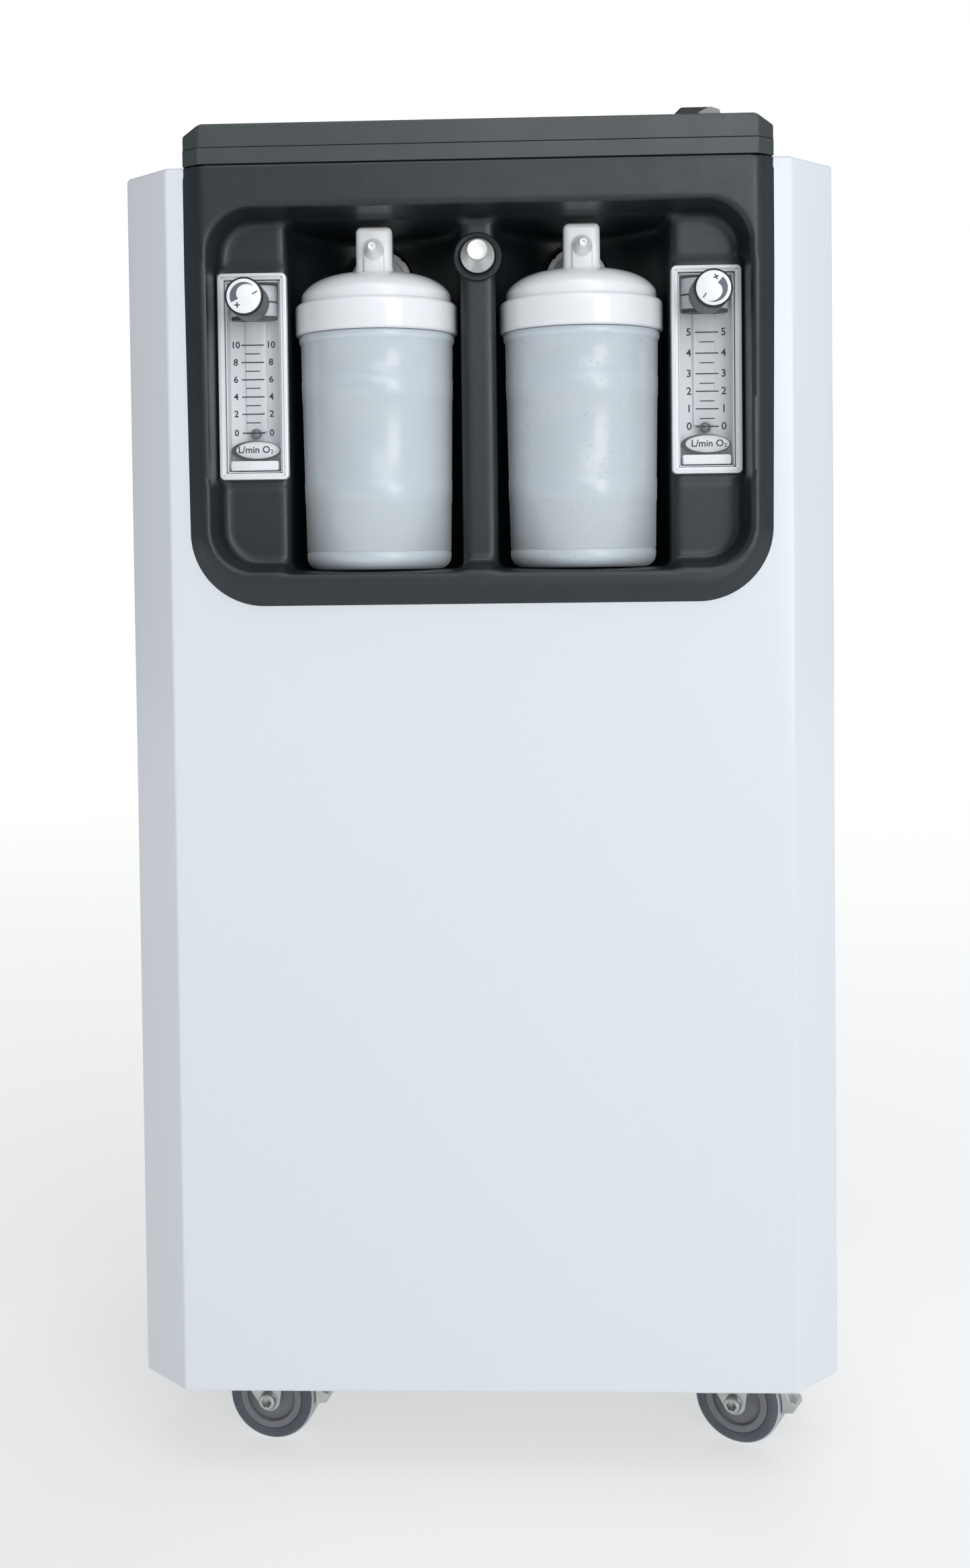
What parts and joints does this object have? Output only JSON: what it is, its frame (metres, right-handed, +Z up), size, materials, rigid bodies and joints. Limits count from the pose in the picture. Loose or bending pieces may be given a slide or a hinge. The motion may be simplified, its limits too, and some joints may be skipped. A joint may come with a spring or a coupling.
{
  "type": "oxygen concentrator",
  "caption": "Free-standing medical oxygen concentrator: a white cabinet on casters whose dark front recess holds humidifier bottles, flow meters and an outlet.",
  "frame": {"origin": "on the floor, at the middle of the whole object's width and depth", "axes": "+Z up; the front with the flow meters faces -Y; +X is to the right seen from the front"},
  "size_m": [0.38, 0.3908, 0.736],
  "materials": {
    "white_paint": "semi-gloss powder coat",
    "zinc_plate": "zinc plated",
    "dark_plastic": "fine texture",
    "black_plastic": "gloss",
    "white_plastic": "gloss",
    "cast_alloy": "as cast",
    "bright_metal": "polished",
    "foam": "open foam",
    "copper": "drawn copper pipe",
    "circuit_board": "solder mask",
    "clear_plastic": "clear acrylic",
    "float_steel": "polished ball",
    "knob_plastic": "dark sides, white front",
    "milky_plastic": "translucent",
    "grey_tyre": "soft grey tread"
  },
  "bodies": {
    "cabinet": {"base_tray": "zinc_plate", "cabinet_shell": "white_paint", "caster_plate_front_left": "zinc_plate", "caster_plate_front_right": "zinc_plate", "caster_plate_rear_left": "zinc_plate", "caster_plate_rear_right": "zinc_plate", "compressor": "cast_alloy", "control_board": "circuit_board", "cooling_coil": "copper", "fan_frame": "black_plastic", "flow_bezel_left": "white_plastic", "flow_bezel_right": "white_plastic", "flow_tube_left": "clear_plastic", "flow_tube_right": "clear_plastic", "front_panel": "dark_plastic", "head_band": "dark_plastic", "intake_filter": "foam", "internal_shelf": "zinc_plate", "outlet_socket": "dark_plastic", "oxygen_tank": "white_plastic", "power_inlet": "black_plastic", "rear_panel": "white_paint", "sieve_tower_left": "cast_alloy", "sieve_tower_right": "cast_alloy", "switch_frame": "dark_plastic", "top_cap": "dark_plastic", "valve_block": "cast_alloy"},
    "flow_float_left": {"flow_float_left": "float_steel"},
    "flow_knob_left": {"flow_knob_left": "knob_plastic"},
    "humidifier_left": {"lid_left": "white_plastic", "lid_port_left": "white_plastic", "union_nut_left": "white_plastic", "dip_tube_left": "milky_plastic"},
    "jar_left": {"jar_left": "milky_plastic"},
    "flow_float_right": {"flow_float_right": "float_steel"},
    "flow_knob_right": {"flow_knob_right": "knob_plastic"},
    "humidifier_right": {"lid_right": "white_plastic", "lid_port_right": "white_plastic", "union_nut_right": "white_plastic", "dip_tube_right": "milky_plastic"},
    "jar_right": {"jar_right": "milky_plastic"},
    "fork_front_left": {"fork_front_left": "zinc_plate", "axle_front_left": "bright_metal"},
    "wheel_front_left": {"wheel_front_left": "grey_tyre"},
    "fork_front_right": {"fork_front_right": "zinc_plate", "axle_front_right": "bright_metal"},
    "wheel_front_right": {"wheel_front_right": "grey_tyre"},
    "fork_rear_left": {"fork_rear_left": "zinc_plate", "axle_rear_left": "bright_metal"},
    "wheel_rear_left": {"wheel_rear_left": "grey_tyre"},
    "fork_rear_right": {"fork_rear_right": "zinc_plate", "axle_rear_right": "bright_metal"},
    "wheel_rear_right": {"wheel_rear_right": "grey_tyre"},
    "brake_pedal_front_left": {"brake_pedal_front_left": "zinc_plate"},
    "brake_pedal_front_right": {"brake_pedal_front_right": "zinc_plate"},
    "outlet_plug": {"outlet_plug": "bright_metal"},
    "switch_paddle": {"switch_paddle": "black_plastic"},
    "filter_door": {"filter_door": "dark_plastic"},
    "breaker_button": {"breaker_button": "black_plastic"},
    "fan_rotor": {"fan_rotor": "black_plastic"}
  },
  "joints": [
    {"name": "swivel_front_left", "type": "hinge", "parent": "cabinet", "child": "fork_front_left", "pos_m": [-0.133, -0.1169, 0.056], "axis": [0, 0, 1], "continuous": true},
    {"name": "roll_front_left", "type": "hinge", "parent": "fork_front_left", "child": "wheel_front_left", "pos_m": [-0.12322, -0.11898, 0.025], "axis": [0.2079, 0.9781, 0], "continuous": true},
    {"name": "brake_front_left", "type": "hinge", "parent": "fork_front_left", "child": "brake_pedal_front_left", "pos_m": [-0.1105, -0.12168, 0.0525], "axis": [-0.2079, -0.9781, 0], "range_deg": [0, 20]},
    {"name": "swivel_front_right", "type": "hinge", "parent": "cabinet", "child": "fork_front_right", "pos_m": [0.133, -0.1169, 0.056], "axis": [0, 0, 1], "continuous": true},
    {"name": "roll_front_right", "type": "hinge", "parent": "fork_front_right", "child": "wheel_front_right", "pos_m": [0.14191, -0.12144, 0.025], "axis": [0.454, 0.891, 0], "continuous": true},
    {"name": "brake_front_right", "type": "hinge", "parent": "fork_front_right", "child": "brake_pedal_front_right", "pos_m": [0.15349, -0.12734, 0.0525], "axis": [-0.454, -0.891, 0], "range_deg": [0, 20]},
    {"name": "swivel_rear_left", "type": "hinge", "parent": "cabinet", "child": "fork_rear_left", "pos_m": [-0.133, 0.1291, 0.056], "axis": [0, 0, 1], "continuous": true},
    {"name": "roll_rear_left", "type": "hinge", "parent": "fork_rear_left", "child": "wheel_rear_left", "pos_m": [-0.12302, 0.1284, 0.025], "axis": [0.0698, 0.9976, 0], "continuous": true},
    {"name": "swivel_rear_right", "type": "hinge", "parent": "cabinet", "child": "fork_rear_right", "pos_m": [0.133, 0.1291, 0.056], "axis": [0, 0, 1], "continuous": true},
    {"name": "roll_rear_right", "type": "hinge", "parent": "fork_rear_right", "child": "wheel_rear_right", "pos_m": [0.14245, 0.12584, 0.025], "axis": [0.3256, 0.9455, 0], "continuous": true},
    {"name": "turn_flow_knob_left", "type": "hinge", "parent": "cabinet", "child": "flow_knob_left", "pos_m": [-0.1215, -0.1649, 0.6386], "axis": [0, 1, 0], "range_deg": [0, 720]},
    {"name": "lift_flow_float_left", "type": "slide", "parent": "cabinet", "child": "flow_float_left", "axis": [0, 0, 1], "range_m": [0, 0.0472]},
    {"name": "draw_out_humidifier_left", "type": "slide", "parent": "cabinet", "child": "humidifier_left", "axis": [0, -1, 0], "range_m": [0, 0.11]},
    {"name": "unscrew_jar_left", "type": "hinge", "parent": "humidifier_left", "child": "jar_left", "pos_m": [-0.056, -0.1409, 0.56], "axis": [0, 0, 1], "range_deg": [0, 360]},
    {"name": "turn_flow_knob_right", "type": "hinge", "parent": "cabinet", "child": "flow_knob_right", "pos_m": [0.1215, -0.1649, 0.6386], "axis": [0, 1, 0], "range_deg": [0, 720]},
    {"name": "lift_flow_float_right", "type": "slide", "parent": "cabinet", "child": "flow_float_right", "axis": [0, 0, 1], "range_m": [0, 0.0501]},
    {"name": "draw_out_humidifier_right", "type": "slide", "parent": "cabinet", "child": "humidifier_right", "axis": [0, -1, 0], "range_m": [0, 0.11]},
    {"name": "unscrew_jar_right", "type": "hinge", "parent": "humidifier_right", "child": "jar_right", "pos_m": [0.056, -0.1409, 0.56], "axis": [0, 0, 1], "range_deg": [0, 360]},
    {"name": "pull_outlet_plug", "type": "slide", "parent": "cabinet", "child": "outlet_plug", "axis": [0, -1, 0], "range_m": [0, 0.03]},
    {"name": "rock_switch", "type": "hinge", "parent": "cabinet", "child": "switch_paddle", "pos_m": [0.1143, -0.1689, 0.7308], "axis": [0, 1, 0], "range_deg": [0, 8]},
    {"name": "open_filter_door", "type": "hinge", "parent": "cabinet", "child": "filter_door", "pos_m": [0, 0.1914, 0.519], "axis": [-1, 0, 0], "range_deg": [0, 90]},
    {"name": "press_breaker", "type": "slide", "parent": "cabinet", "child": "breaker_button", "axis": [0, -1, 0], "range_m": [0, 0.002]},
    {"name": "spin_fan", "type": "hinge", "parent": "cabinet", "child": "fan_rotor", "pos_m": [0, -0.0489, 0.29], "axis": [0, 0, 1], "continuous": true}
  ]
}
